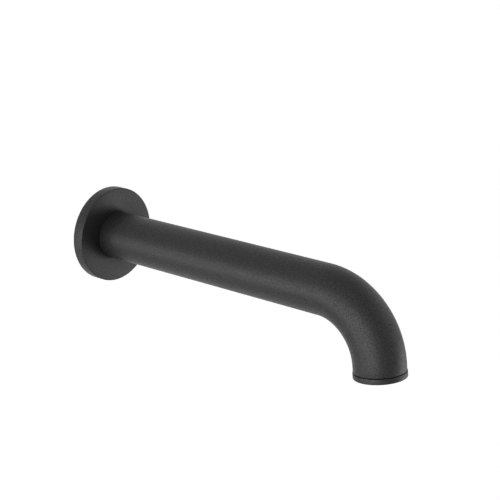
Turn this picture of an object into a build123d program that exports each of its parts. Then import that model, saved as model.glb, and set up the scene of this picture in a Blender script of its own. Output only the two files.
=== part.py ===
from build123d import *
import math
import os

os.makedirs("parts", exist_ok=True)

# A wall spout for a bath. The wall is the plane y = 0, the room is on the -Y side and +Z is up.
# The origin is where the tube's axis meets the wall. All sizes are in millimetres and degrees.

# Spout tube
reach = 230.0               # wall to the centre of the outlet face
tube_diameter = 32.0
tube_wall = 2.0
bend_radius = 41.5          # along the tube's centreline
bend_angle = 84.0           # the outlet leans a little forward of straight down
outlet_land = 3.7           # straight tube after the bend
tube_rear_gap = 1.0         # the tube stops just short of the wall, inside the flange
tube_edge = 0.3             # broken edge at the outlet end

# Wall flange
flange_diameter = 64.0
flange_thickness = 8.0
flange_edge = 0.5           # rounded front edge
flange_back_edge = 0.3
flange_web = 2.5            # front wall over the hollow back
flange_rim_width = 5.0
flange_bore_clearance = 0.15
hub_wall = 2.5              # round the sealing ring
hub_back_gap = 0.5          # only the rim and its seal meet the wall
recess_corner = 1.0
wall_seal_width = 2.2
wall_seal_depth = 1.6
wall_seal_edge_land = 1.4   # rim left outside the seal

# Sealing rings, drawn as squeezed in their grooves
ring_cord = 2.5
ring_squeeze = 0.45         # how much thinner the fitted ring is than its cord
ring_bulge = 0.6            # how far its free sides swell past the flattened faces
ring_side_clearance = 0.35  # spare width of a groove
flange_ring_station = 4.2   # from the wall

# Inlet bush, brazed into the tube
bush_wall = 2.9
bush_length = 36.0
bush_stop_length = 4.0      # narrow end that the nipple stops short of
bush_stop_height = 2.6
bush_lead_in = 0.8
bush_flare = 1.5

# Wall nipple
wall_thread_diameter = 20.955
wall_thread_length = 14.0
wall_thread_chamfer = 1.2
spigot_clearance = 0.1
spigot_end_gap = 1.0        # left between the spigot and the bush's stop
spigot_chamfer = 0.8
clamp_groove_station = 12.0
clamp_groove_width = 5.8
clamp_groove_depth = 1.0
front_ring_setback = 4.2    # from the spigot's end
ring_spacing = 4.6          # between the two rings
socket_wall = 2.1           # from a ring groove to the corners of the key socket
socket_depth = 14.0
socket_step = 0.25          # from the flats of the key socket down to the round bore

# Clamp screw, a headless screw in the tube's underside
screw_diameter = 5.0
screw_clearance = 0.05
screw_recess = 1.0          # below the tube's surface
screw_point_diameter = 3.0
screw_point_height = 1.0
screw_edge = 0.3
screw_key_width = 2.5
screw_key_depth = 2.4

# Outlet bush, brazed into the tube's mouth
outlet_relief = 1.2         # the upper part stands clear of the bent tube
outlet_bush_wall = 1.3
outlet_bush_top = 10.7      # height above the tube's end
outlet_shoulder = 2.0
outlet_lip = 1.5            # how far the washer's seat reaches in
outlet_lead_in = 0.4
outlet_top_edge = 0.6

# Outlet housing with the collar that ends the spout
seam_gap = 0.3              # shadow line between tube and collar
collar_height = 3.4
collar_proud = 0.3          # beyond the tube's surface
collar_edge = 0.3
housing_thread_clearance = 0.05
housing_wall = 1.45
housing_floor = 1.6         # outlet face to the seat of the straightener
housing_lip = 0.9
housing_mouth = 0.9         # height of the flared mouth
housing_flare = 2.1
key_notch_count = 4
key_notch_width = 2.0
key_notch_depth = 0.6

# What the housing holds
washer_thickness = 2.0
washer_clearance = 0.2
washer_width = 2.8
insert_clearance = 0.05
insert_rim = 0.9
straightener_height = 4.8
cell_width = 2.3            # across the flats of one cell
cell_wall = 0.35
screen_thickness = 0.5
screen_pitch = 2.3
screen_wire = 0.5
jet_plate_thickness = 1.4
jet_rim_height = 0.8        # above the plate, under the washer
jet_slot_count = 16
jet_slot_width = 1.0
jet_slot_length = 3.6
jet_slot_land = 0.8         # from the slots' outer ends to the ring

# Sizes that follow from those above
tube_radius = tube_diameter / 2
tube_bore = tube_radius - tube_wall
lean_sine = math.sin(math.radians(bend_angle))
lean_cosine = math.cos(math.radians(bend_angle))
outlet_drop = outlet_land + seam_gap + collar_height
straight_length = reach - bend_radius * lean_sine - outlet_drop * lean_cosine
outlet_height = -bend_radius * (1 - lean_cosine) - outlet_drop * lean_sine
ring_thickness = ring_cord - ring_squeeze
ring_area = math.pi * ring_cord ** 2 / 4
ring_flat = ring_area / ring_thickness - ring_bulge
ring_width = ring_flat + 2 * ring_bulge
groove_width = ring_width + ring_side_clearance

# The outlet pieces are drawn upright about Z with the outlet face at z = 0, then leaned into place
outlet_frame = Plane(
    origin=(0, -reach, outlet_height),
    x_dir=(1, 0, 0),
    z_dir=(0, lean_cosine, lean_sine),
)


def turned_on_inlet(outline):
    """Turn an outline of (radius, y) points about the tube's axis at the wall."""
    return revolve(make_face(Polyline(*outline, close=True)), Axis.Y)


def turned_on_outlet(outline):
    """Turn an outline of (radius, height) points about the outlet's own axis."""
    return revolve(make_face(Plane.XZ * Polyline(*outline, close=True)), Axis.Z)


def sealing_ring(inner_radius, station):
    """A round cord squeezed flat between two walls, at a distance from the wall plane."""
    middle = inner_radius + ring_thickness / 2
    outer_radius = inner_radius + ring_thickness
    return turned_on_inlet([
        (inner_radius, ring_flat / 2 - station),
        (middle, ring_width / 2 - station),
        (outer_radius, ring_flat / 2 - station),
        (outer_radius, -ring_flat / 2 - station),
        (middle, -ring_width / 2 - station),
        (inner_radius, -ring_flat / 2 - station),
    ])


def ring_groove(bottom, land, station):
    """The four outline corners of a groove, from the wall side towards the room."""
    half = groove_width / 2
    return [
        (land, half - station),
        (bottom, half - station),
        (bottom, -half - station),
        (land, -half - station),
    ]


# Spout tube: one round section swept along a straight run, one bend and a short straight end
straight = Line((-tube_rear_gap, 0), (-straight_length, 0))
bend = JernArc(straight @ 1, straight % 1, bend_radius, bend_angle)
land = Line(bend @ 1, bend @ 1 + (bend % 1) * outlet_land)
spine = Plane.YZ * (straight + bend + land)
section_plane = Plane(origin=(0, -tube_rear_gap, 0), z_dir=(0, -1, 0))
spout_tube = sweep(section_plane * (Circle(tube_radius) - Circle(tube_bore)), path=spine)
mouth_circles = spout_tube.edges().filter_by(GeomType.CIRCLE).group_by(Axis.Z)[0]
spout_tube = chamfer(mouth_circles.sort_by(SortBy.RADIUS)[-1], tube_edge)

# Hole for the clamp screw, drilled and tapped through the tube and the bush behind it
screw_hole_radius = screw_diameter / 2 + screw_clearance
screw_frame = Plane(origin=(0, -clamp_groove_station, -tube_radius), z_dir=(0, 0, 1))
screw_hole = extrude(
    screw_frame * Circle(screw_hole_radius), tube_radius / 2, both=True
)
spout_tube -= screw_hole

# Inlet bush: a sleeve that slips over the nipple, with a lead-in behind and a narrow stop in front
bush_bore = tube_bore - bush_wall
bush_back = -tube_rear_gap
bush_front = bush_back - bush_length
stop_bore = bush_bore - bush_stop_height
inlet_bush = turned_on_inlet([
    (tube_bore, bush_back),
    (bush_bore + bush_lead_in, bush_back),
    (bush_bore, bush_back - 2 * bush_lead_in),
    (bush_bore, bush_front + bush_stop_length),
    (stop_bore, bush_front + bush_stop_length),
    (stop_bore, bush_front + bush_flare),
    (stop_bore + bush_flare, bush_front),
    (tube_bore, bush_front),
])
inlet_bush -= screw_hole

# Wall nipple: a pipe thread for the wall, a spigot with a clamp groove and two ring grooves
thread_radius = wall_thread_diameter / 2
spigot_radius = bush_bore - spigot_clearance
spigot_length = tube_rear_gap + bush_length - bush_stop_length - spigot_end_gap
front_ring_station = spigot_length - front_ring_setback
rear_ring_station = front_ring_station - ring_spacing
spigot_groove = bush_bore - ring_thickness
socket_corner = spigot_groove - socket_wall
socket_flat = socket_corner * math.cos(math.pi / 6)
nipple_bore = socket_flat - socket_step
clamp_groove = spigot_radius - clamp_groove_depth
wall_nipple = turned_on_inlet([
    (nipple_bore, wall_thread_length),
    (thread_radius - wall_thread_chamfer, wall_thread_length),
    (thread_radius, wall_thread_length - wall_thread_chamfer),
    (thread_radius, 0),
    (spigot_radius, 0),
    (spigot_radius, clamp_groove_width / 2 - clamp_groove_station),
    (clamp_groove, clamp_groove_width / 2 - clamp_groove_station),
    (clamp_groove, -clamp_groove_width / 2 - clamp_groove_station),
    (spigot_radius, -clamp_groove_width / 2 - clamp_groove_station),
    *ring_groove(spigot_groove, spigot_radius, rear_ring_station),
    *ring_groove(spigot_groove, spigot_radius, front_ring_station),
    (spigot_radius, spigot_chamfer - spigot_length),
    (spigot_radius - spigot_chamfer, -spigot_length),
    (nipple_bore, -spigot_length),
])
socket_frame = Plane(origin=(0, -spigot_length, 0), z_dir=(0, 1, 0))
wall_nipple -= extrude(socket_frame * RegularPolygon(socket_corner, 6), socket_depth)

# Two sealing rings between the spigot and the bush
nipple_ring_rear = sealing_ring(spigot_groove, rear_ring_station)
nipple_ring_front = sealing_ring(spigot_groove, front_ring_station)

# Clamp screw: its flat point presses on the floor of the nipple's groove
screw_length = tube_radius - screw_recess - clamp_groove
screw_radius = screw_diameter / 2
screw_outline = [
    (0, 0),
    (screw_point_diameter / 2, 0),
    (screw_radius, screw_point_height),
    (screw_radius, screw_length - screw_edge),
    (screw_radius - screw_edge, screw_length),
    (0, screw_length),
]
clamp_screw = turned_on_outlet(screw_outline)
key_corner = screw_key_width / 2 / math.cos(math.pi / 6)
clamp_screw -= extrude(
    Pos(0, 0, screw_length) * RegularPolygon(key_corner, 6), -screw_key_depth
)
screw_seat = Plane(origin=(0, -clamp_groove_station, -clamp_groove), z_dir=(0, 0, -1))
clamp_screw = screw_seat.location * clamp_screw

# Wall flange: a turned disc with a hollow back, a hub with a sealing ring and a rim with a wall seal
flange_radius = flange_diameter / 2
flange_bore = tube_radius + flange_bore_clearance
flange_ring_groove = tube_radius + ring_thickness
hub_radius = flange_ring_groove + hub_wall
rim_inside = flange_radius - flange_rim_width
seal_outside = flange_radius - wall_seal_edge_land
seal_inside = seal_outside - wall_seal_width
recess_floor = flange_web - flange_thickness
wall_flange = turned_on_inlet([
    (flange_bore, -hub_back_gap),
    (hub_radius, -hub_back_gap),
    (hub_radius, recess_floor + recess_corner),
    (hub_radius + recess_corner, recess_floor),
    (rim_inside - recess_corner, recess_floor),
    (rim_inside, recess_floor + recess_corner),
    (rim_inside, 0),
    (seal_inside, 0),
    (seal_inside, -wall_seal_depth),
    (seal_outside, -wall_seal_depth),
    (seal_outside, 0),
    (flange_radius - flange_back_edge, 0),
    (flange_radius, -flange_back_edge),
    (flange_radius, -flange_thickness),
    (flange_bore, -flange_thickness),
    *reversed(ring_groove(flange_ring_groove, flange_bore, flange_ring_station)),
])
flange_circles = wall_flange.edges().filter_by(GeomType.CIRCLE)
front_edge = flange_circles.group_by(Axis.Y)[0].sort_by(SortBy.RADIUS)[-1]
wall_flange = fillet(front_edge, flange_edge)

# Sealing ring between the flange and the tube, and the flat seal in the flange's rim
flange_ring = sealing_ring(tube_radius, flange_ring_station)
wall_seal = turned_on_inlet([
    (seal_inside, 0),
    (seal_outside, 0),
    (seal_outside, -wall_seal_depth),
    (seal_inside, -wall_seal_depth),
])

# Outlet bush: a threaded socket in the mouth, stepped so that it clears the bend
tube_end = collar_height + seam_gap
socket_body = tube_bore - outlet_relief
outlet_thread = socket_body - outlet_bush_wall
seat_bore = outlet_thread - outlet_lip
bush_top = tube_end + outlet_bush_top
washer_seat = bush_top - outlet_shoulder
outlet_bush = turned_on_outlet([
    (tube_bore, tube_end),
    (tube_bore, tube_end + outlet_land),
    (socket_body, tube_end + outlet_land),
    (socket_body, bush_top - outlet_top_edge),
    (socket_body - outlet_top_edge, bush_top),
    (seat_bore + outlet_top_edge, bush_top),
    (seat_bore, bush_top - outlet_top_edge),
    (seat_bore, washer_seat),
    (outlet_thread, washer_seat),
    (outlet_thread, tube_end + outlet_lead_in),
    (outlet_thread + outlet_lead_in, tube_end),
])

# Outlet housing: the collar under the seam, a threaded neck and a flared mouth with key notches
collar_radius = tube_radius + collar_proud
neck_radius = outlet_thread - housing_thread_clearance
pocket = neck_radius - housing_wall
mouth_bore = pocket - housing_lip
neck_top = washer_seat - washer_thickness
outlet_housing = turned_on_outlet([
    (mouth_bore + housing_flare, 0),
    (collar_radius - collar_edge, 0),
    (collar_radius, collar_edge),
    (collar_radius, collar_height - collar_edge),
    (collar_radius - collar_edge, collar_height),
    (neck_radius, collar_height),
    (neck_radius, neck_top - outlet_lead_in),
    (neck_radius - outlet_lead_in, neck_top),
    (pocket, neck_top),
    (pocket, housing_floor),
    (mouth_bore, housing_floor),
    (mouth_bore, housing_mouth),
])
notch_length = housing_flare + housing_lip
notch_places = PolarLocations(mouth_bore + housing_flare / 2, key_notch_count)
notches = Sketch() + notch_places * Rectangle(notch_length, key_notch_width)
outlet_housing -= extrude(notches, key_notch_depth)

# Flow straightener: a honeycomb disc, with whole cells and those that the rim cuts
insert_radius = pocket - insert_clearance
insert_bore = insert_radius - insert_rim
straightener_top = housing_floor + straightener_height
cell_pitch = cell_width + cell_wall
cell_corner = cell_width / 2 / math.cos(math.pi / 6)
cell_rows = 2 * math.ceil(insert_bore / cell_pitch) + 3
row_pitch = cell_pitch * math.cos(math.pi / 6)
cells = Sketch()
for row in range(-cell_rows, cell_rows + 1):
    for column in range(-cell_rows, cell_rows + 1):
        across = (column + (row % 2) / 2) * cell_pitch
        up = row * row_pitch
        if math.hypot(across, up) < insert_bore:
            cells += Pos(across, up) * RegularPolygon(cell_corner, 6, rotation=30)
cells = cells & Circle(insert_bore)
straightener = extrude(Circle(insert_radius) - cells, straightener_height)
straightener = Pos(0, 0, housing_floor) * straightener

# Mesh screen: a thin disc of crossing wires inside a rim
screen_gap = screen_pitch - screen_wire
screen_count = 2 * math.floor(insert_bore / screen_pitch) + 1
screen_gaps = Sketch()
for row in range(screen_count):
    for column in range(screen_count):
        across = (column - (screen_count - 1) / 2) * screen_pitch
        up = (row - (screen_count - 1) / 2) * screen_pitch
        far_corner = math.hypot(abs(across) + screen_gap / 2, abs(up) + screen_gap / 2)
        if far_corner < insert_bore:
            screen_gaps += Pos(across, up) * Rectangle(screen_gap, screen_gap)
screen = extrude(Circle(insert_radius) - screen_gaps, screen_thickness)
screen = Pos(0, 0, straightener_top) * screen

# Jet plate: a slotted plate in a ring that stands on the screen and reaches up to the washer
jet_bottom = straightener_top + screen_thickness
jet_top = neck_top
plate_top = jet_top - jet_rim_height
plate_bottom = plate_top - jet_plate_thickness
jet_plate = turned_on_outlet([
    (0, plate_bottom),
    (insert_bore, plate_bottom),
    (insert_bore, jet_bottom),
    (insert_radius, jet_bottom),
    (insert_radius, jet_top),
    (insert_bore, jet_top),
    (insert_bore, plate_top),
    (0, plate_top),
])
slot_middle = insert_bore - jet_slot_land - jet_slot_length / 2
slot_places = PolarLocations(slot_middle, jet_slot_count)
jet_slots = Sketch() + slot_places * Rectangle(jet_slot_length, jet_slot_width)
jet_plate -= extrude(Pos(0, 0, plate_bottom) * jet_slots, jet_plate_thickness)

# Washer between the housing and the seat inside the outlet bush
washer_outside = outlet_thread - washer_clearance
outlet_washer = turned_on_outlet([
    (washer_outside - washer_width, neck_top),
    (washer_outside, neck_top),
    (washer_outside, washer_seat),
    (washer_outside - washer_width, washer_seat),
])

inlet_pieces = {
    "spout_tube": spout_tube,
    "inlet_bush": inlet_bush,
    "wall_nipple": wall_nipple,
    "nipple_ring_rear": nipple_ring_rear,
    "nipple_ring_front": nipple_ring_front,
    "clamp_screw": clamp_screw,
    "wall_flange": wall_flange,
    "flange_ring": flange_ring,
    "wall_seal": wall_seal,
}
outlet_pieces = {
    "outlet_bush": outlet_bush,
    "outlet_housing": outlet_housing,
    "flow_straightener": straightener,
    "mesh_screen": screen,
    "jet_plate": jet_plate,
    "outlet_washer": outlet_washer,
}
for name, piece in inlet_pieces.items():
    export_step(piece, f"parts/{name}.step")
for name, piece in outlet_pieces.items():
    export_step(outlet_frame.location * piece, f"parts/{name}.step")
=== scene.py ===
# %% [markdown]
# # A wall spout for a bath
#
# The real object is a brass tube with a matte black coat. A round flange covers the hole in the wall, the
# tube bends down once, and a thin collar under a dark seam holds the insert that makes an even stream. The
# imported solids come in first, because every piece that is made here goes exactly where its solid is. The
# wall is the plane y = 0, the room is on the -Y side, +Z is up, and all lengths are in metres.

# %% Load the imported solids
import math

import bmesh
import bpy
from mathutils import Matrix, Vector


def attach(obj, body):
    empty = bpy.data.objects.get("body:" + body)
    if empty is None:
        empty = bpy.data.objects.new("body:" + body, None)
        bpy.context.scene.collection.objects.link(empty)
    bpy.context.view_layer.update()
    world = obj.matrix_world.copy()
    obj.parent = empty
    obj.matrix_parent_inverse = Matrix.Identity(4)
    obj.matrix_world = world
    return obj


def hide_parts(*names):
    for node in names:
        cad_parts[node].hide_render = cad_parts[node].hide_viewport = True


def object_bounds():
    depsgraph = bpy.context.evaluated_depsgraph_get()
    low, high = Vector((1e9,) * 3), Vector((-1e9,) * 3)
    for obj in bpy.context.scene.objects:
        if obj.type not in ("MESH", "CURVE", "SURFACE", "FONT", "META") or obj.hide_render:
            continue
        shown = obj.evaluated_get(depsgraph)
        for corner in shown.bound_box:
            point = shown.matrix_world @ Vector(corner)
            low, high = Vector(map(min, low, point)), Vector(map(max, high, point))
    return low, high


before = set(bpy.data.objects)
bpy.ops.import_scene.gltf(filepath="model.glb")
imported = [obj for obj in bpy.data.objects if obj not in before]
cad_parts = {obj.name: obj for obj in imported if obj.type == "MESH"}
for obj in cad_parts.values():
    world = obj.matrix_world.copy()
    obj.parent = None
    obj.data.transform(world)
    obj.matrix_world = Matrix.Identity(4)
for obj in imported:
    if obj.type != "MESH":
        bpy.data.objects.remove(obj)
solid_low, solid_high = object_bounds()
MM = 0.001
print("solids:", len(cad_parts), "size in mm:", [round(side / MM, 2) for side in solid_high - solid_low])

# %% [markdown]
# ## Nothing selected
#
# An operator works on whatever is selected, and the solids are still selected after loading. Every step
# that adds or shapes something therefore begins by emptying the selection.

# %% Empty the selection
def nothing_selected():
    """Go to object mode and deselect everything, so that the next operator touches one piece only."""
    if bpy.context.mode != "OBJECT":
        bpy.ops.object.mode_set(mode="OBJECT")
    bpy.ops.object.select_all(action="DESELECT")


nothing_selected()
print("selected objects:", len(bpy.context.selected_objects))

# %% [markdown]
# ## Camera
#
# The photograph looks at the spout from its left and from a little above, with a long lens that keeps the
# tube's two edges nearly parallel. The place and the lens were found by setting the solid's known edges
# against the edges in the photograph, so the camera is only written down here.

# %% Camera at the photograph's angle
CAMERA_PLACE = (-0.59954, -0.65324, 0.25158)
CAMERA_TILT = math.radians(73.313)
CAMERA_TURN = math.radians(-48.806)
LENS_LENGTH = 96.378
SENSOR_WIDTH = 36
nothing_selected()
bpy.ops.object.camera_add(location=CAMERA_PLACE, rotation=(CAMERA_TILT, 0, CAMERA_TURN))
camera = bpy.context.object
camera.name = "photo_camera"
camera.data.lens = LENS_LENGTH
camera.data.sensor_width = SENSOR_WIDTH
bpy.context.scene.camera = camera
bpy.context.scene.view_settings.view_transform = "Standard"
print("camera at", [round(value, 3) for value in camera.location])

# %% [markdown]
# ## Floor and surroundings
#
# A spout hangs on a wall, so nothing stands on the floor. The floor lies far below, out of the way of views
# from underneath. To the eye and in reflections, floor and surroundings are white paper. The light that
# they really throw on the object is only a weak fill, so the black coat keeps its modelling.

# %% White surroundings with a weak fill
FILL_LIGHT = 0.12
WHITE = (1, 1, 1, 1)
world = bpy.data.worlds.new("white_studio")
world.use_nodes = True
bpy.context.scene.world = world


def white_where_seen(tree):
    """A socket that is 1 for rays that look at a surface or a reflection, and 0 for scattered light."""
    path = tree.nodes.new("ShaderNodeLightPath")
    camera_or_gloss = tree.nodes.new("ShaderNodeMath")
    camera_or_gloss.operation = "MAXIMUM"
    seen = tree.nodes.new("ShaderNodeMath")
    seen.operation = "MAXIMUM"
    tree.links.new(path.outputs["Is Camera Ray"], camera_or_gloss.inputs[0])
    tree.links.new(path.outputs["Is Glossy Ray"], camera_or_gloss.inputs[1])
    tree.links.new(camera_or_gloss.outputs[0], seen.inputs[0])
    tree.links.new(path.outputs["Is Transmission Ray"], seen.inputs[1])
    return seen.outputs[0]


sky_tree = world.node_tree
fill_sky = sky_tree.nodes["Background"]
fill_sky.inputs["Color"].default_value = WHITE
fill_sky.inputs["Strength"].default_value = FILL_LIGHT
seen_sky = sky_tree.nodes.new("ShaderNodeBackground")
seen_sky.inputs["Color"].default_value = WHITE
seen_sky.inputs["Strength"].default_value = 1
sky_mix = sky_tree.nodes.new("ShaderNodeMixShader")
sky_tree.links.new(white_where_seen(sky_tree), sky_mix.inputs["Fac"])
sky_tree.links.new(fill_sky.outputs[0], sky_mix.inputs[1])
sky_tree.links.new(seen_sky.outputs[0], sky_mix.inputs[2])
sky_tree.links.new(sky_mix.outputs[0], sky_tree.nodes["World Output"].inputs["Surface"])
print("surroundings: white where seen, fill", FILL_LIGHT)

# %% [markdown]
# The floor is a matte sheet of paper that takes the object's shadow. Its glow makes it white to the eye and
# in reflections, and is left out of the light that it scatters.

# %% Pale floor that still takes a shadow
FLOOR_SIZE = 30
FLOOR_HEIGHT = -1.8
PAPER_COLOUR = (0.6, 0.6, 0.6, 1)
PAPER_GLOW = 0.93
nothing_selected()
bpy.ops.mesh.primitive_plane_add(size=FLOOR_SIZE, location=(0, 0, FLOOR_HEIGHT))
floor = bpy.context.object
floor.name = "floor"
paper = bpy.data.materials.new("white_paper")
paper.use_nodes = True
paper_tree = paper.node_tree
paper_shader = paper_tree.nodes["Principled BSDF"]
paper_shader.inputs["Base Color"].default_value = PAPER_COLOUR
paper_shader.inputs["Roughness"].default_value = 0.9
paper_shader.inputs["Specular IOR Level"].default_value = 0.1
glow = paper_tree.nodes.new("ShaderNodeMath")
glow.operation = "MULTIPLY"
glow.inputs[1].default_value = PAPER_GLOW
paper_tree.links.new(white_where_seen(paper_tree), glow.inputs[0])
paper_shader.inputs["Emission Color"].default_value = WHITE
paper_tree.links.new(glow.outputs[0], paper_shader.inputs["Emission Strength"])
floor.data.materials.append(paper)
print("floor at", floor.location.z)

# %% [markdown]
# ## Studio light
#
# The highlights in the photograph are broad and soft: one along the tube's left flank, a fainter one on the
# far side of the outlet, and a dark band between them where nothing bright is reflected. A lamp could be a
# point or a sun, but their highlights are small and hard. Four soft panels give what the photograph shows:
# two side by side on the left at the height of the tube, and on the right a weak one low down and a weaker
# one high up.

# %% Four soft panels
PANEL_DISTANCE = 1.4
middle = (solid_low + solid_high) / 2


def soft_panel(name, azimuth, elevation, width, height, watts):
    """A rectangular lamp that faces the middle of the object. Azimuth 0 is the room side, 90 is +X."""
    turn = math.radians(azimuth)
    lift = math.radians(elevation)
    outward = Vector((
        math.sin(turn) * math.cos(lift),
        -math.cos(turn) * math.cos(lift),
        math.sin(lift),
    ))
    nothing_selected()
    bpy.ops.object.light_add(type="AREA", location=middle + outward * PANEL_DISTANCE)
    panel = bpy.context.object
    panel.name = name
    panel.rotation_euler = (-outward).to_track_quat("-Z", "Y").to_euler()
    panel.data.shape = "RECTANGLE"
    panel.data.size = width
    panel.data.size_y = height
    panel.data.energy = watts
    panel.visible_camera = False
    print("panel", name, watts, "W")


soft_panel("left_rear_panel", azimuth=-116, elevation=-4, width=1.0, height=0.9, watts=10.5)
soft_panel("left_front_panel", azimuth=-76, elevation=2, width=1.0, height=1.3, watts=17)
soft_panel("right_low_panel", azimuth=50, elevation=-19, width=0.9, height=0.9, watts=6)
soft_panel("right_high_panel", azimuth=50, elevation=30, width=1.6, height=1.0, watts=4)

# %% [markdown]
# ## Spout tube
#
# The real tube is drawn brass, bent once over a former. It could be a curve with a round bevel, but a curve
# has no wall and no rim. Here one circle is extruded along the straight run, spun round the bend's centre
# and extruded once more for the short straight end, which is how the tube itself runs. The length of the
# straight run follows from the reach, because the collar at the outlet is what the reach is measured to.

# %% Work out the tube's run
REACH = 230 * MM
TUBE_RADIUS = 16 * MM
BEND_RADIUS = 41.5 * MM
BEND_ANGLE = math.radians(84)
REAR_GAP = 1 * MM
LAND = 3.7 * MM
SEAM_GAP = 0.3 * MM
COLLAR_HEIGHT = 3.4 * MM
outlet_drop = LAND + SEAM_GAP + COLLAR_HEIGHT
straight_end = REACH - BEND_RADIUS * math.sin(BEND_ANGLE) - outlet_drop * math.cos(BEND_ANGLE)
bend_middle = Vector((0, -straight_end, -BEND_RADIUS))
way_out = Vector((0, -math.cos(BEND_ANGLE), -math.sin(BEND_ANGLE)))
bend_end = bend_middle + BEND_RADIUS * Vector((0, -math.sin(BEND_ANGLE), math.cos(BEND_ANGLE)))
mouth = bend_end + LAND * way_out
print("straight run to", round(straight_end / MM, 2), "mm")
print("mouth at", [round(value / MM, 2) for value in mouth])

# %% [markdown]
# A finished piece sits at the origin with its place in its mesh, as a solid does, so that a pattern on its
# Object coordinates stays where it is. Each new piece is settled in that way straight after it is added.

# %% Sweep a circle along the run
TUBE_SIDES = 128
BEND_STEPS = 72
# Points that are nearer than a thousandth of a millimetre count as one.
SAME_POINT = 1e-6


def pick(piece):
    """Select one piece alone and make it the active one."""
    nothing_selected()
    piece.select_set(True)
    bpy.context.view_layer.objects.active = piece


def settle(piece):
    """Put a piece's place, turn and size into its mesh."""
    pick(piece)
    bpy.ops.object.transform_apply(location=True, rotation=True, scale=True)


def added(name):
    """Name the object that was just added and settle it."""
    piece = bpy.context.object
    piece.name = name
    piece.data.name = name
    settle(piece)
    return piece


def edit(piece):
    """Open one piece alone in edit mode."""
    pick(piece)
    bpy.ops.object.mode_set(mode="EDIT")
    bpy.ops.mesh.select_mode(type="VERT")


def extrude_by(step):
    """Extrude what is selected by a step."""
    bpy.ops.mesh.extrude_region_move(TRANSFORM_OT_translate={"value": step})


def merge_and_face_outwards():
    """Merge the points that lie on each other and turn all faces outwards."""
    bpy.ops.mesh.select_all(action="SELECT")
    bpy.ops.mesh.remove_doubles(threshold=SAME_POINT)
    bpy.ops.mesh.normals_make_consistent(inside=False)


nothing_selected()
bpy.ops.mesh.primitive_circle_add(
    vertices=TUBE_SIDES, radius=TUBE_RADIUS, location=(0, -REAR_GAP, 0), rotation=(math.pi / 2, 0, 0)
)
tube = added("coated_tube")
edit(tube)
bpy.ops.mesh.select_all(action="SELECT")
extrude_by((0, REAR_GAP - straight_end, 0))
bpy.ops.mesh.spin(steps=BEND_STEPS, angle=BEND_ANGLE, center=bend_middle, axis=(-1, 0, 0))
extrude_by(LAND * way_out)
merge_and_face_outwards()
nothing_selected()
lowest = min(vertex.co.z for vertex in tube.data.vertices)
print("tube comes down to", round(lowest / MM, 2), "mm")

# %% [markdown]
# A Solidify modifier grows the wall inwards, and gives the inside a material of its own, because the coat
# covers only the outside. A second circle inside the first could be swept as well, but then two ends would
# have to be bridged by hand.

# %% Give the tube its wall
TUBE_WALL = 2 * MM
pick(tube)
bpy.ops.object.modifier_add(type="SOLIDIFY")
wall = tube.modifiers[-1]
wall.thickness = TUBE_WALL
wall.offset = -1
wall.use_even_offset = True
wall.material_offset = 1
wall.material_offset_rim = 1
bpy.ops.object.modifier_apply(modifier=wall.name)
print("tube with a wall has", len(tube.data.polygons), "faces")

# %% [markdown]
# The cut end of a tube is sharp until it is deburred. A Bevel modifier would round every edge of the tube,
# so only the outer circle at the mouth is selected, by its place, and bevelled.

# %% Break the rim at the mouth
TUBE_EDGE = 0.3 * MM
RIM_NEARNESS = 0.01 * MM


def select_edges(test):
    """In edit mode, select only the edges whose two ends both pass the test."""
    bpy.ops.mesh.select_mode(type="EDGE")
    bpy.ops.mesh.select_all(action="DESELECT")
    mesh = bmesh.from_edit_mesh(bpy.context.edit_object.data)
    for edge in mesh.edges:
        edge.select = all(test(vertex.co) for vertex in edge.verts)
    mesh.select_flush_mode()
    bmesh.update_edit_mesh(bpy.context.edit_object.data)


def on_mouth_rim(at):
    """True for the outer circle at the tube's lower end."""
    offset = at - mouth
    return abs(offset.dot(way_out)) < RIM_NEARNESS and offset.length > TUBE_RADIUS - RIM_NEARNESS


edit(tube)
select_edges(on_mouth_rim)
bpy.ops.mesh.bevel(offset=TUBE_EDGE, segments=3, affect="EDGES")
nothing_selected()
print("tube with its rim broken has", len(tube.data.polygons), "faces")

# %% [markdown]
# A headless screw clamps the spout from below, so the tube has one drilled hole near the wall. A cylinder
# is the drill, and a Boolean takes its volume out.

# %% Drill the hole for the clamp screw
SCREW_STATION = 12 * MM
SCREW_HOLE_RADIUS = 2.55 * MM
DRILL_LENGTH = 10 * MM


def combine(piece, tool, operation):
    """Join the tool to the piece, or cut it out, with a Boolean that is applied. The tool is then deleted."""
    pick(piece)
    bpy.ops.object.modifier_add(type="BOOLEAN")
    boolean = piece.modifiers[-1]
    boolean.operation = operation
    boolean.solver = "EXACT"
    boolean.object = tool
    bpy.ops.object.modifier_apply(modifier=boolean.name)
    bpy.data.objects.remove(tool)


def smooth(piece, degrees=35):
    """Shade the piece smoothly, with creases where two faces meet at a steeper angle."""
    pick(piece)
    bpy.ops.object.shade_smooth_by_angle(angle=math.radians(degrees))
    print(piece.name, "has", len(piece.data.polygons), "faces")


nothing_selected()
bpy.ops.mesh.primitive_cylinder_add(
    vertices=48, radius=SCREW_HOLE_RADIUS, depth=DRILL_LENGTH, location=(0, -SCREW_STATION, -TUBE_RADIUS)
)
combine(tube, added("drill"), "DIFFERENCE")
smooth(tube)

# %% [markdown]
# ## Wall flange
#
# The flange is turned on a lathe: a disc with a crisp front edge, a bore for the tube with a groove for its
# sealing ring, and a hollow back with a second groove for the seal against the wall. A lathe part is an
# outline that goes once round its axis, so its outline is written down first, from corner to corner.

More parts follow.
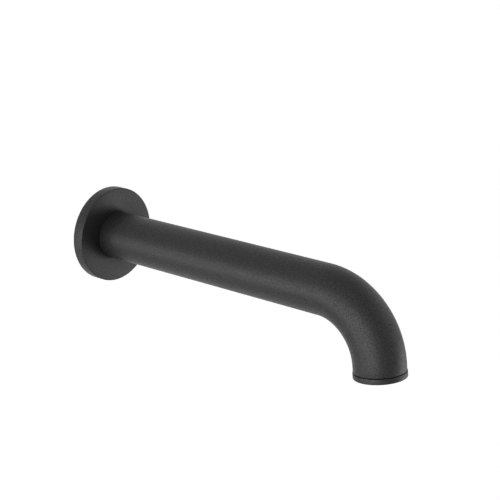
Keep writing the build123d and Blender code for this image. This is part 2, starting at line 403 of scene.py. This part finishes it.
# %% Write down the flange's outline
FLANGE_RADIUS = 32 * MM
FLANGE_THICKNESS = 8 * MM
FLANGE_BORE = 16.15 * MM
HUB_RADIUS = 20.55 * MM
HUB_BACK_GAP = 0.5 * MM
RECESS_DEPTH = 5.5 * MM
RIM_INSIDE = 27 * MM
SEAL_INSIDE = 28.4 * MM
SEAL_OUTSIDE = 30.6 * MM
SEAL_DEPTH = 1.6 * MM
RING_GROOVE_WIDTH = 3.34 * MM
FLANGE_RING_FLOOR = 18.05 * MM
FLANGE_RING_STATION = 4.2 * MM


def beside_inlet(radius, station):
    """A corner of an outline that is turned about the tube's axis. The room is at stations below 0."""
    return (radius, station, 0)


def groove(surface, floor, start, end):
    """The four corners of a groove in a round surface, from one station to another."""
    return [
        beside_inlet(surface, start),
        beside_inlet(floor, start),
        beside_inlet(floor, end),
        beside_inlet(surface, end),
    ]


ring_back = RING_GROOVE_WIDTH / 2 - FLANGE_RING_STATION
ring_front = -RING_GROOVE_WIDTH / 2 - FLANGE_RING_STATION
flange_corners = [
    beside_inlet(FLANGE_BORE, -HUB_BACK_GAP),
    beside_inlet(HUB_RADIUS, -HUB_BACK_GAP),
    beside_inlet(HUB_RADIUS, -RECESS_DEPTH),
    beside_inlet(RIM_INSIDE, -RECESS_DEPTH),
    beside_inlet(RIM_INSIDE, 0),
    beside_inlet(SEAL_INSIDE, 0),
    beside_inlet(SEAL_INSIDE, -SEAL_DEPTH),
    beside_inlet(SEAL_OUTSIDE, -SEAL_DEPTH),
    beside_inlet(SEAL_OUTSIDE, 0),
    beside_inlet(FLANGE_RADIUS, 0),
    beside_inlet(FLANGE_RADIUS, -FLANGE_THICKNESS),
    beside_inlet(FLANGE_BORE, -FLANGE_THICKNESS),
    *groove(FLANGE_BORE, FLANGE_RING_FLOOR, ring_front, ring_back),
]
print("the flange's outline has", len(flange_corners), "corners")

# %% [markdown]
# One vertex is extruded from corner to corner, and the corners that a hand would feel are rounded. Rounding
# the outline before it is turned gives clean rings of faces, with no bevel to go wrong afterwards.

# %% Draw the flange's outline and round its corners
FRONT_EDGE = 0.5 * MM
BACK_EDGE = 0.3 * MM
BORE_EDGE = 0.15 * MM
RECESS_CORNER = 1 * MM
HUB_EDGE = 0.3 * MM
RIM_EDGE = 0.2 * MM


def select_points(test):
    """In edit mode, select only the vertices whose place passes the test."""
    bpy.ops.mesh.select_mode(type="VERT")
    bpy.ops.mesh.select_all(action="DESELECT")
    mesh = bmesh.from_edit_mesh(bpy.context.edit_object.data)
    for vertex in mesh.verts:
        vertex.select = test(vertex.co)
    mesh.select_flush_mode()
    bmesh.update_edit_mesh(bpy.context.edit_object.data)


def draw_outline(name, corners, closed=True):
    """Draw an outline in edit mode: one vertex, extruded from corner to corner."""
    nothing_selected()
    bpy.ops.mesh.primitive_plane_add(size=1 * MM)
    piece = added(name)
    edit(piece)
    bpy.ops.mesh.select_all(action="SELECT")
    bpy.ops.mesh.merge(type="CENTER")
    bpy.ops.transform.translate(value=corners[0])
    for here, there in zip(corners, corners[1:]):
        extrude_by(Vector(there) - Vector(here))
    if closed:
        ends = [Vector(corners[0]), Vector(corners[-1])]
        select_points(lambda at: min((at - end).length for end in ends) < SAME_POINT)
        bpy.ops.mesh.edge_face_add()
    return piece


def round_corner(corner, radius, segments=4):
    """Round one corner of an outline."""
    select_points(lambda at: (at - Vector(corner)).length < SAME_POINT)
    bpy.ops.mesh.bevel(offset=radius, segments=segments, affect="VERTICES")


flange = draw_outline("coated_flange", flange_corners)
round_corner(beside_inlet(FLANGE_RADIUS, -FLANGE_THICKNESS), FRONT_EDGE, segments=5)
round_corner(beside_inlet(FLANGE_RADIUS, 0), BACK_EDGE)
round_corner(beside_inlet(FLANGE_BORE, -FLANGE_THICKNESS), BORE_EDGE, segments=2)
round_corner(beside_inlet(HUB_RADIUS, -RECESS_DEPTH), RECESS_CORNER)
round_corner(beside_inlet(RIM_INSIDE, -RECESS_DEPTH), RECESS_CORNER)
round_corner(beside_inlet(HUB_RADIUS, -HUB_BACK_GAP), HUB_EDGE, segments=2)
round_corner(beside_inlet(RIM_INSIDE, 0), RIM_EDGE, segments=2)
print("drew the outline of", flange.name)

# %% [markdown]
# Spin turns the outline once round the tube's axis. Its last step falls on its first, so the doubled points
# are merged there. A Screw modifier would do the same, but spin leaves a plain mesh at once.

# %% Turn the flange
INLET_AXIS = (0, 1, 0)


def turn_outline(piece, axis, steps=128):
    """Spin the outline once round an axis through the origin, and close the seam."""
    bpy.ops.mesh.select_all(action="SELECT")
    bpy.ops.mesh.spin(steps=steps, angle=2 * math.pi, center=(0, 0, 0), axis=axis)
    merge_and_face_outwards()
    nothing_selected()
    print(piece.name, "turned in", steps, "steps")


turn_outline(flange, INLET_AXIS, steps=160)
smooth(flange)

# %% [markdown]
# ## Outlet housing
#
# The thin collar that ends the spout belongs to a housing that screws up into the tube. Its lower face
# flares into the mouth, and four notches take the key that turns it. It is turned upright at the origin,
# where its sizes read off plainly, then leaned forward by the 6 degrees that the bend leaves, and put in
# its place.

# %% Turn the housing upright
OUTLET_AXIS = (0, 0, 1)
COLLAR_RADIUS = 16.3 * MM
COLLAR_EDGE = 0.3 * MM
NECK_RADIUS = 11.45 * MM
NECK_TOP = 10.4 * MM
NECK_CHAMFER = 0.4 * MM
SEAT_RADIUS = 10 * MM
SEAT_FLOOR = 1.6 * MM
THROAT_RADIUS = 9.1 * MM
FLARE_HEIGHT = 0.9 * MM
FLARE_RADIUS = 11.2 * MM
FLARE_EDGE = 0.25 * MM


def beside_outlet(radius, height):
    """A corner of an outline that is turned about the outlet's axis, at a height over the outlet face."""
    return (radius, 0, height)


housing_corners = [
    beside_outlet(FLARE_RADIUS, 0),
    beside_outlet(COLLAR_RADIUS, 0),
    beside_outlet(COLLAR_RADIUS, COLLAR_HEIGHT),
    beside_outlet(NECK_RADIUS, COLLAR_HEIGHT),
    beside_outlet(NECK_RADIUS, NECK_TOP - NECK_CHAMFER),
    beside_outlet(NECK_RADIUS - NECK_CHAMFER, NECK_TOP),
    beside_outlet(SEAT_RADIUS, NECK_TOP),
    beside_outlet(SEAT_RADIUS, SEAT_FLOOR),
    beside_outlet(THROAT_RADIUS, SEAT_FLOOR),
    beside_outlet(THROAT_RADIUS, FLARE_HEIGHT),
]
housing = draw_outline("coated_housing", housing_corners)
round_corner(beside_outlet(COLLAR_RADIUS, 0), COLLAR_EDGE)
round_corner(beside_outlet(COLLAR_RADIUS, COLLAR_HEIGHT), COLLAR_EDGE)
round_corner(beside_outlet(FLARE_RADIUS, 0), FLARE_EDGE, segments=3)
turn_outline(housing, OUTLET_AXIS)

# %% [markdown]
# The notches could be four separate boxes. One cutter is shaped, with rounded upper edges as a milling tool
# leaves them, and its copies are turned by quarters, so that all four are alike.

# %% Cut four key notches
NOTCH_COUNT = 4
NOTCH_MIDDLE = 10.15 * MM
NOTCH_LENGTH = 3 * MM
NOTCH_WIDTH = 2 * MM
NOTCH_DEPTH = 0.6 * MM
NOTCH_EDGE = 0.15 * MM


def copy_of(piece):
    """A copy of the piece with its own mesh."""
    pick(piece)
    bpy.ops.object.duplicate(linked=False)
    return bpy.context.object


nothing_selected()
bpy.ops.mesh.primitive_cube_add(
    size=1, location=(NOTCH_MIDDLE, 0, 0), scale=(NOTCH_LENGTH, NOTCH_WIDTH, 2 * NOTCH_DEPTH)
)
first_cutter = added("notch_cutter")
edit(first_cutter)
select_edges(lambda at: at.z > 0)
bpy.ops.mesh.bevel(offset=NOTCH_EDGE, segments=2, affect="EDGES")
cutters = [first_cutter]
for number in range(1, NOTCH_COUNT):
    cutter = copy_of(first_cutter)
    cutter.rotation_euler = (0, 0, number * 2 * math.pi / NOTCH_COUNT)
    settle(cutter)
    cutters.append(cutter)
for cutter in cutters:
    combine(housing, cutter, "DIFFERENCE")
print("cut", len(cutters), "notches")

# %% [markdown]
# The outlet's pieces lean with the end of the bend. Leaning them last keeps their sizes plain, and the lean
# and the place go into the mesh, so the finished piece stays at the origin.

# %% Lean the housing into its place
OUTLET_LEAN = BEND_ANGLE - math.pi / 2
outlet_place = mouth + (SEAM_GAP + COLLAR_HEIGHT) * way_out


def lean_into_place(piece):
    """Lean an upright outlet piece to the angle of the outlet, move it there and settle it."""
    nothing_selected()
    piece.rotation_euler = (OUTLET_LEAN, 0, 0)
    piece.location = outlet_place
    settle(piece)


lean_into_place(housing)
smooth(housing)

# %% [markdown]
# ## Wall nipple
#
# Behind the flange, a brass nipple screws into the elbow in the wall. Its pipe thread is the first thing
# that is seen from the back, so it is real geometry and not a bump. One tooth is drawn and a Screw modifier
# winds it into a threaded rod. The rod is trimmed with a chamfered sleeve and joined to the turned body.

# %% Draw one tooth of the pipe thread
THREAD_PITCH = 1.814 * MM
THREAD_CREST = 10.4775 * MM
THREAD_ROOT = 9.3155 * MM
TOOTH_ROUNDING = 0.08 * MM
WINDING_START = -4 * MM
tooth_shape = [
    (THREAD_ROOT, 0),
    (THREAD_ROOT + TOOTH_ROUNDING, 0.1),
    (THREAD_CREST - TOOTH_ROUNDING, 0.4),
    (THREAD_CREST, 0.5),
    (THREAD_CREST - TOOTH_ROUNDING, 0.6),
    (THREAD_ROOT + TOOTH_ROUNDING, 0.9),
    (THREAD_ROOT, 1),
]
tooth = [beside_inlet(radius, WINDING_START + share * THREAD_PITCH) for radius, share in tooth_shape]
thread = draw_outline("thread_rod", tooth, closed=False)
print("a tooth is", round((THREAD_CREST - THREAD_ROOT) / MM, 2), "mm high")

# %% [markdown]
# The Screw modifier copies the tooth along a right-handed helix, one pitch for each turn. Spin could climb
# as well, but the modifier takes the pitch as a plain number. The rod is longer than the thread, and both
# its ends are cut flat and filled, so that it is a closed body for the Booleans that follow.

# %% Wind the tooth into a threaded rod
THREAD_TURNS = 12
STEPS_IN_A_TURN = 64
ROD_BACK = 15.2 * MM
ROD_FRONT = -1.2 * MM
pick(thread)
bpy.ops.object.modifier_add(type="SCREW")
winding = thread.modifiers[-1]
winding.axis = "Y"
winding.screw_offset = THREAD_PITCH
winding.iterations = THREAD_TURNS
winding.steps = STEPS_IN_A_TURN
winding.render_steps = STEPS_IN_A_TURN
bpy.ops.object.modifier_apply(modifier=winding.name)
edit(thread)
bpy.ops.mesh.select_all(action="SELECT")
bpy.ops.mesh.remove_doubles(threshold=2 * SAME_POINT)
bpy.ops.mesh.bisect(plane_co=(0, ROD_FRONT, 0), plane_no=INLET_AXIS, use_fill=True, clear_inner=True)
bpy.ops.mesh.select_all(action="SELECT")
bpy.ops.mesh.bisect(plane_co=(0, ROD_BACK, 0), plane_no=INLET_AXIS, use_fill=True, clear_outer=True)
bpy.ops.mesh.select_all(action="SELECT")
bpy.ops.mesh.normals_make_consistent(inside=False)
nothing_selected()
print("thread rod has", len(thread.data.polygons), "faces")

# %% [markdown]
# A real thread begins with a chamfer and fades out at a run-out groove. What the rod and a chamfered sleeve
# have in common is such a thread. The sleeve has another number of steps than the body, because edges that
# fall on each other can leave gaps when the two are joined.

# %% Trim the thread with a chamfered sleeve
SLEEVE_STEPS = 110
SLEEVE_INSIDE = 7.5 * MM
SLEEVE_OUTSIDE = 10.6 * MM
SLEEVE_FRONT = 1.1 * MM
SLEEVE_BACK = 13.99 * MM
FRONT_CHAMFER = 1.3 * MM
BACK_CHAMFER = 1.32 * MM
sleeve_corners = [
    beside_inlet(SLEEVE_INSIDE, SLEEVE_FRONT),
    beside_inlet(SLEEVE_OUTSIDE - FRONT_CHAMFER, SLEEVE_FRONT),
    beside_inlet(SLEEVE_OUTSIDE, SLEEVE_FRONT + FRONT_CHAMFER),
    beside_inlet(SLEEVE_OUTSIDE, SLEEVE_BACK - BACK_CHAMFER),
    beside_inlet(SLEEVE_OUTSIDE - BACK_CHAMFER, SLEEVE_BACK),
    beside_inlet(SLEEVE_INSIDE, SLEEVE_BACK),
]
sleeve = draw_outline("thread_sleeve", sleeve_corners)
turn_outline(sleeve, INLET_AXIS, SLEEVE_STEPS)
combine(sleeve, thread, "INTERSECT")
print("threaded sleeve has", len(sleeve.data.polygons), "faces")

# %% [markdown]
# The body is turned as the flange is. Its spigot has a wide groove for the clamp screw and two narrow ones
# for sealing rings. Grooves could be cut afterwards, but as corners of the outline they cost nothing.

# %% Turn the nipple's body
NIPPLE_STEPS = 96
NIPPLE_BORE = 5.769 * MM
THREAD_CORE = 9.24 * MM
THREAD_LENGTH = 14 * MM
SPIGOT_RADIUS = 11 * MM
SPIGOT_LENGTH = 32 * MM
SPIGOT_CHAMFER = 0.8 * MM
CLAMP_GROOVE_FLOOR = 10 * MM
CLAMP_GROOVE_WIDTH = 5.8 * MM
SPIGOT_RING_FLOOR = 9.05 * MM
REAR_RING_STATION = 23.2 * MM
FRONT_RING_STATION = 27.8 * MM
SHOULDER_EDGE = 0.25 * MM
NIPPLE_BORE_EDGE = 0.4 * MM
spigot_grooves = [
    (CLAMP_GROOVE_FLOOR, SCREW_STATION, CLAMP_GROOVE_WIDTH),
    (SPIGOT_RING_FLOOR, REAR_RING_STATION, RING_GROOVE_WIDTH),
    (SPIGOT_RING_FLOOR, FRONT_RING_STATION, RING_GROOVE_WIDTH),
]
nipple_corners = [
    beside_inlet(NIPPLE_BORE, THREAD_LENGTH),
    beside_inlet(THREAD_CORE, THREAD_LENGTH),
    beside_inlet(THREAD_CORE, 0),
    beside_inlet(SPIGOT_RADIUS, 0),
]
for groove_floor, station, width in spigot_grooves:
    nipple_corners += groove(SPIGOT_RADIUS, groove_floor, width / 2 - station, -width / 2 - station)
nipple_corners += [
    beside_inlet(SPIGOT_RADIUS, SPIGOT_CHAMFER - SPIGOT_LENGTH),
    beside_inlet(SPIGOT_RADIUS - SPIGOT_CHAMFER, -SPIGOT_LENGTH),
    beside_inlet(NIPPLE_BORE, -SPIGOT_LENGTH),
]
nipple = draw_outline("threaded_nipple", nipple_corners)
round_corner(beside_inlet(SPIGOT_RADIUS, 0), SHOULDER_EDGE, segments=2)
round_corner(beside_inlet(NIPPLE_BORE, THREAD_LENGTH), NIPPLE_BORE_EDGE, segments=3)
turn_outline(nipple, INLET_AXIS, NIPPLE_STEPS)

# %% [markdown]
# The nipple is screwed in with a six-sided key from the room side. A cylinder with six sides is the tool
# that cuts its socket, and a Boolean also joins thread and body, so that the nipple is one closed mesh.

# %% Join the thread to the body and cut the socket for its key
KEY_SOCKET_RADIUS = 6.95 * MM
KEY_SOCKET_STATION = 25.5 * MM
KEY_SOCKET_LENGTH = 15 * MM
combine(nipple, sleeve, "UNION")
nothing_selected()
bpy.ops.mesh.primitive_cylinder_add(
    vertices=6,
    radius=KEY_SOCKET_RADIUS,
    depth=KEY_SOCKET_LENGTH,
    location=(0, -KEY_SOCKET_STATION, 0),
    rotation=(math.pi / 2, 0, 0),
)
combine(nipple, added("key_socket"), "DIFFERENCE")
smooth(nipple)

# %% [markdown]
# ## Woven screen
#
# A disc of woven wire lies on the straightener and breaks the jets. Its solid is a plain grid, and the real
# one is a weave: each wire goes over one neighbour and under the next. One wave of one wire is modelled, an
# Array modifier makes it a whole wire, and copies of it are turned, set side by side and cut to a round
# disc.

# %% Model one wire
WIRE_SIDES = 8
WIRE_RADIUS = 0.12 * MM
WEAVE_PITCH = 0.9 * MM
WEAVE_HEIGHT = 0.13 * MM
WIRES_EACH_WAY = 21
STEPS_IN_A_WAVE = 8
wave_length = 2 * WEAVE_PITCH
wire_start = -(WIRES_EACH_WAY + 1) / 2 * WEAVE_PITCH
nothing_selected()
bpy.ops.mesh.primitive_circle_add(
    vertices=WIRE_SIDES,
    radius=WIRE_RADIUS,
    location=(wire_start, 0, WEAVE_HEIGHT),
    rotation=(0, math.pi / 2, 0),
)
wire = added("screen_wire")
edit(wire)
bpy.ops.mesh.select_all(action="SELECT")
wave_heights = [
    WEAVE_HEIGHT * math.cos(step * 2 * math.pi / STEPS_IN_A_WAVE) for step in range(STEPS_IN_A_WAVE + 1)
]
for here, there in zip(wave_heights, wave_heights[1:]):
    extrude_by((wave_length / STEPS_IN_A_WAVE, 0, there - here))
pick(wire)
bpy.ops.object.modifier_add(type="ARRAY")
waves = wire.modifiers[-1]
waves.count = (WIRES_EACH_WAY + 1) // 2
waves.use_relative_offset = False
waves.use_constant_offset = True
waves.constant_offset_displace = (wave_length, 0, 0)
waves.use_merge_vertices = True
waves.merge_threshold = SAME_POINT
bpy.ops.object.modifier_apply(modifier=waves.name)
print("one wire has", len(wire.data.polygons), "faces")

# %% [markdown]
# A real screen is stamped from woven cloth. Cutting the whole weave with a round tool would take a heavy
# Boolean, so each wire is cut at its own two ends, where the circle crosses it.

# %% Weave the wires and cut them to the rim
SCREEN_CUT = 9.5 * MM


def lay_wire(number, turned):
    """Copy the wire to its place in the weave and cut it where it ends in the rim."""
    laid = copy_of(wire)
    side = (number - (WIRES_EACH_WAY - 1) / 2) * WEAVE_PITCH
    half_length = math.sqrt(SCREEN_CUT ** 2 - side ** 2)
    edit(laid)
    for end in (-1, 1):
        bpy.ops.mesh.select_all(action="SELECT")
        bpy.ops.mesh.bisect(
            plane_co=(end * half_length, 0, 0), plane_no=(end, 0, 0), use_fill=True, clear_outer=True
        )
    bpy.ops.mesh.select_all(action="SELECT")
    bpy.ops.mesh.normals_make_consistent(inside=False)
    under = number % 2 == turned
    if under:
        bpy.ops.transform.resize(value=(1, 1, -1))
        bpy.ops.mesh.normals_make_consistent(inside=False)
    bpy.ops.transform.translate(value=(0, side, 0))
    nothing_selected()
    laid.rotation_euler = (0, 0, turned * math.pi / 2)
    settle(laid)
    return laid


laid_wires = [lay_wire(number, turned) for turned in (0, 1) for number in range(WIRES_EACH_WAY)]
bpy.data.objects.remove(wire)
print("laid", len(laid_wires), "wires")

# %% [markdown]
# The stamped edge is pressed into a thin rim that holds the ends of the wires. The rim is turned from a
# small rounded outline, wide enough to hide every cut end, and joined with the wires to one piece.

# %% Press the rim of the screen
SCREEN_MIDDLE = 6.65 * MM
SCREEN_RIM_INSIDE = 9.05 * MM
SCREEN_RIM_OUTSIDE = 9.95 * MM
SCREEN_RIM_HALF = 0.25 * MM
SCREEN_RIM_EDGE = 0.12 * MM
SCREEN_STEPS = 96
rim_corners = [
    beside_outlet(SCREEN_RIM_INSIDE, -SCREEN_RIM_HALF),
    beside_outlet(SCREEN_RIM_OUTSIDE, -SCREEN_RIM_HALF),
    beside_outlet(SCREEN_RIM_OUTSIDE, SCREEN_RIM_HALF),
    beside_outlet(SCREEN_RIM_INSIDE, SCREEN_RIM_HALF),
]
screen = draw_outline("woven_screen", rim_corners)
for corner in rim_corners:
    round_corner(corner, SCREEN_RIM_EDGE, segments=3)
turn_outline(screen, OUTLET_AXIS, SCREEN_STEPS)
pick(screen)
for laid in laid_wires:
    laid.select_set(True)
bpy.ops.object.join()
edit(screen)
bpy.ops.mesh.select_all(action="SELECT")
bpy.ops.transform.translate(value=(0, 0, SCREEN_MIDDLE))
lean_into_place(screen)
smooth(screen, degrees=50)

# %% [markdown]
# ## Matte black coat
#
# The coat is a fine-textured black powder coat. Close up it is a skin of tiny bumps, well under a
# millimetre across, which scatter the light so that highlights are broad. The bumps could be modelled, but
# that takes millions of faces, so they are noise on Object coordinates. A slow second noise varies the
# gloss a little along the piece, as a sprayed coat does.

# %% Start the coat with two noises
BUMPS_IN_A_METRE = 1500


def new_finish(name):
    """A new material, with its node tree and its shader."""
    finish = bpy.data.materials.new(name)
    finish.use_nodes = True
    tree = finish.node_tree
    return finish, tree, tree.nodes["Principled BSDF"]


def noise_on_object(tree, scale, detail=2.0, stretch=(1, 1, 1)):
    """Noise that stays on the piece. It has about scale times stretch cells in a metre along each axis."""
    place = tree.nodes.new("ShaderNodeTexCoord")
    mapping = tree.nodes.new("ShaderNodeMapping")
    mapping.inputs["Scale"].default_value = stretch
    texture = tree.nodes.new("ShaderNodeTexNoise")
    texture.inputs["Scale"].default_value = scale
    texture.inputs["Detail"].default_value = detail
    tree.links.new(place.outputs["Object"], mapping.inputs["Vector"])
    tree.links.new(mapping.outputs["Vector"], texture.inputs["Vector"])
    return texture.outputs["Fac"]


coat, coat_tree, coat_shader = new_finish("matte_black_coat")
coat_shader.inputs["Specular IOR Level"].default_value = 0.27
fine_texture = noise_on_object(coat_tree, scale=BUMPS_IN_A_METRE, detail=0.5)
slow_change = noise_on_object(coat_tree, scale=28)
print("bumps of the coat are about", round(1 / BUMPS_IN_A_METRE / MM, 2), "mm apart")

# %% [markdown]
# The fine noise does three things at once. Its colour is the coat's grain and painted shade: the hollows are
# painted darker than the tops, and they are also duller, which is the sandy speckle in the photograph. It
# also tilts the surface, so that each bump catches the light.

# %% Paint shade into the hollows and dull them
# Nearly all of the noise lies between these two values.
NOISE_LOW = 0.3
NOISE_HIGH = 0.7


def tint(tree, noise, hollow, top, low=NOISE_LOW, high=NOISE_HIGH):
    """A colour that goes from that of the noise's hollows to that of its tops."""
    ramp = tree.nodes.new("ShaderNodeValToRGB")
    ramp.color_ramp.elements[0].position = low
    ramp.color_ramp.elements[0].color = (*hollow, 1)
    ramp.color_ramp.elements[1].position = high
    ramp.color_ramp.elements[1].color = (*top, 1)
    tree.links.new(noise, ramp.inputs["Fac"])
    return ramp.outputs["Color"]


def level(tree, noise, hollow, top):
    """A number that goes from that of the noise's hollows to that of its tops."""
    span = tree.nodes.new("ShaderNodeMapRange")
    span.inputs["From Min"].default_value = NOISE_LOW
    span.inputs["From Max"].default_value = NOISE_HIGH
    span.inputs["To Min"].default_value = hollow
    span.inputs["To Max"].default_value = top
    tree.links.new(noise, span.inputs["Value"])
    return span.outputs["Result"]


# Painted shade: the noise's hollows take the darker colour and the tops the paler one, on top of the grain.
coat_grain_and_painted_shade = tint(
    coat_tree,
    fine_texture,
    hollow=(0.003, 0.003, 0.0031),
    top=(0.021, 0.021, 0.0214),
    low=0.35,
    high=0.65,
)
coat_tree.links.new(coat_grain_and_painted_shade, coat_shader.inputs["Base Color"])
coat_roughness = coat_tree.nodes.new("ShaderNodeMath")
coat_roughness.operation = "ADD"
coat_tree.links.new(level(coat_tree, fine_texture, hollow=0.54, top=0.38), coat_roughness.inputs[0])
coat_tree.links.new(level(coat_tree, slow_change, hollow=-0.03, top=0.03), coat_roughness.inputs[1])
coat_tree.links.new(coat_roughness.outputs[0], coat_shader.inputs["Roughness"])
print("the coat has", len(coat_tree.nodes), "nodes")

# %% [markdown]
# The bumps could be real displacement, which needs far more faces than the whole part has. A Bump node
# tilts the shading instead, which is all that can be seen of bumps this small.

# %% Raise the bumps of the coat
def raise_bumps(tree, shader, noise, height, strength):
    """Tilt the surface by the noise, as if its bumps were that high in metres."""
    bump = tree.nodes.new("ShaderNodeBump")
    bump.inputs["Strength"].default_value = strength
    bump.inputs["Distance"].default_value = height
    tree.links.new(noise, bump.inputs["Height"])
    tree.links.new(bump.outputs["Normal"], shader.inputs["Normal"])


raise_bumps(coat_tree, coat_shader, fine_texture, height=0.05 * MM, strength=0.6)
print("made", coat.name)

# %% [markdown]
# ## Brass
#
# The bushes and the nipple are plain turned brass. A lathe tool leaves fine rings round the axis. They
# could come from an anisotropic shader, but close up each ring is seen, so they are noise that is squeezed
# along Y, the axis of the inlet, and stays nearly even round it. A second noise is the faint stains that
# handling leaves.

# %% Mix the turned brass
brass, brass_tree, brass_shader = new_finish("turned_brass")
brass_shader.inputs["Metallic"].default_value = 1
tool_rings = noise_on_object(brass_tree, scale=1, detail=3, stretch=(60, 5200, 60))
stains = noise_on_object(brass_tree, scale=140, detail=4)
brass_colour = tint(brass_tree, stains, hollow=(0.58, 0.42, 0.19), top=(0.73, 0.55, 0.28))
brass_tree.links.new(brass_colour, brass_shader.inputs["Base Color"])
brass_roughness = level(brass_tree, tool_rings, hollow=0.24, top=0.4)
brass_tree.links.new(brass_roughness, brass_shader.inputs["Roughness"])
raise_bumps(brass_tree, brass_shader, tool_rings, height=0.012 * MM, strength=0.6)
print("made", brass.name)

# %% [markdown]
# ## Rubber
#
# Sealing rings and washers are moulded rubber, near black and dull, with a faint grey bloom. One even grey
# would look like paint. A wide noise makes the bloom, paler and duller, and a fine one makes the moulded
# skin.

# %% Mix the rubber
rubber, rubber_tree, rubber_shader = new_finish("moulded_rubber")
rubber_shader.inputs["Specular IOR Level"].default_value = 0.3
bloom = noise_on_object(rubber_tree, scale=420, detail=4)
skin = noise_on_object(rubber_tree, scale=2400)
rubber_colour = tint(rubber_tree, bloom, hollow=(0.026, 0.026, 0.026), top=(0.058, 0.058, 0.06))
rubber_tree.links.new(rubber_colour, rubber_shader.inputs["Base Color"])
rubber_roughness = level(rubber_tree, bloom, hollow=0.55, top=0.75)
rubber_tree.links.new(rubber_roughness, rubber_shader.inputs["Roughness"])
raise_bumps(rubber_tree, rubber_shader, skin, height=0.02 * MM, strength=0.4)
print("made", rubber.name)

# %% [markdown]
# ## Steel
#
# The clamp screw is machined from stainless bar. It is small, and a plain grey might do, but from below its
# end lies open in the tube. Its tool marks run round its own axis, which is upright, so this noise is
# squeezed along Z.

# %% Mix the machined steel
steel, steel_tree, steel_shader = new_finish("machined_steel")
steel_shader.inputs["Metallic"].default_value = 1
tool_marks = noise_on_object(steel_tree, scale=1, detail=3, stretch=(300, 300, 6000))
steel_colour = tint(steel_tree, tool_marks, hollow=(0.46, 0.45, 0.44), top=(0.58, 0.575, 0.56))
steel_tree.links.new(steel_colour, steel_shader.inputs["Base Color"])
steel_roughness = level(steel_tree, tool_marks, hollow=0.26, top=0.42)
steel_tree.links.new(steel_roughness, steel_shader.inputs["Roughness"])
raise_bumps(steel_tree, steel_shader, tool_marks, height=0.008 * MM, strength=0.5)
print("made", steel.name)

# %% [markdown]
# The screen's wire is drawn through a die and is brighter than the screw. Its marks follow each wire, and
# the wires run two ways, so no single direction fits and a fine even noise is used. Bumps would be too
# small to see.

# %% Mix the drawn wire
wire_steel, wire_tree, wire_shader = new_finish("drawn_wire")
wire_shader.inputs["Metallic"].default_value = 1
draw_marks = noise_on_object(wire_tree, scale=3200, detail=3)
wire_colour = tint(wire_tree, draw_marks, hollow=(0.5, 0.5, 0.49), top=(0.63, 0.625, 0.61))
wire_tree.links.new(wire_colour, wire_shader.inputs["Base Color"])
wire_roughness = level(wire_tree, draw_marks, hollow=0.22, top=0.36)
wire_tree.links.new(wire_roughness, wire_shader.inputs["Roughness"])
print("made", wire_steel.name)

# %% [markdown]
# ## Plastic
#
# The jet plate and the straightener are moulded in dark grey plastic. The mould leaves a fine grain on
# every face, and the melt leaves faint flow marks. A grain on Object coordinates also covers the inner
# walls of the honeycomb, which could hardly be painted by hand.

# %% Mix the moulded plastic
plastic, plastic_tree, plastic_shader = new_finish("moulded_plastic")
mould_grain = noise_on_object(plastic_tree, scale=2600)
flow_marks = noise_on_object(plastic_tree, scale=180, detail=3)
plastic_colour = tint(plastic_tree, flow_marks, hollow=(0.1, 0.1, 0.104), top=(0.135, 0.135, 0.14))
plastic_tree.links.new(plastic_colour, plastic_shader.inputs["Base Color"])
plastic_roughness = level(plastic_tree, mould_grain, hollow=0.42, top=0.55)
plastic_tree.links.new(plastic_roughness, plastic_shader.inputs["Roughness"])
raise_bumps(plastic_tree, plastic_shader, mould_grain, height=0.012 * MM, strength=0.4)
print("made", plastic.name)

# %% [markdown]
# ## Put the finishes on
#
# Each new piece stands for its solid and moves with the one body that a fixed spout has. The solids that
# are right as they are stay, and only their finish is exchanged.

# %% Dress the new pieces
dressed = [
    (tube, "spout_tube", "tube_coat", [coat, brass]),
    (flange, "wall_flange", "flange_coat", [coat]),
    (housing, "outlet_housing", "collar_coat", [coat]),
    (nipple, "wall_nipple", "nipple_brass", [brass]),
    (screen, "mesh_screen", "screen_steel", [wire_steel]),
]
for piece, node, slot_name, finishes in dressed:
    piece.data.materials.clear()
    for finish in finishes:
        piece.data.materials.append(finish)
    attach(piece, "root")
    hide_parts(node)
    print(piece.name, "stands for", node)

# %% [markdown]
# A solid that stays keeps its mesh and its place. Only the material in its slots is exchanged, so that it
# is still the very same shape.

# %% Dress the solids that stay
solid_finishes = {
    "inlet_bush": brass,
    "outlet_bush": brass,
    "nipple_ring_rear": rubber,
    "nipple_ring_front": rubber,
    "flange_ring": rubber,
    "wall_seal": rubber,
    "outlet_washer": rubber,
    "clamp_screw": steel,
    "jet_plate": plastic,
    "flow_straightener": plastic,
}
for node, finish in solid_finishes.items():
    for material_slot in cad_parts[node].material_slots:
        material_slot.material = finish
    print(node, "is", finish.name)
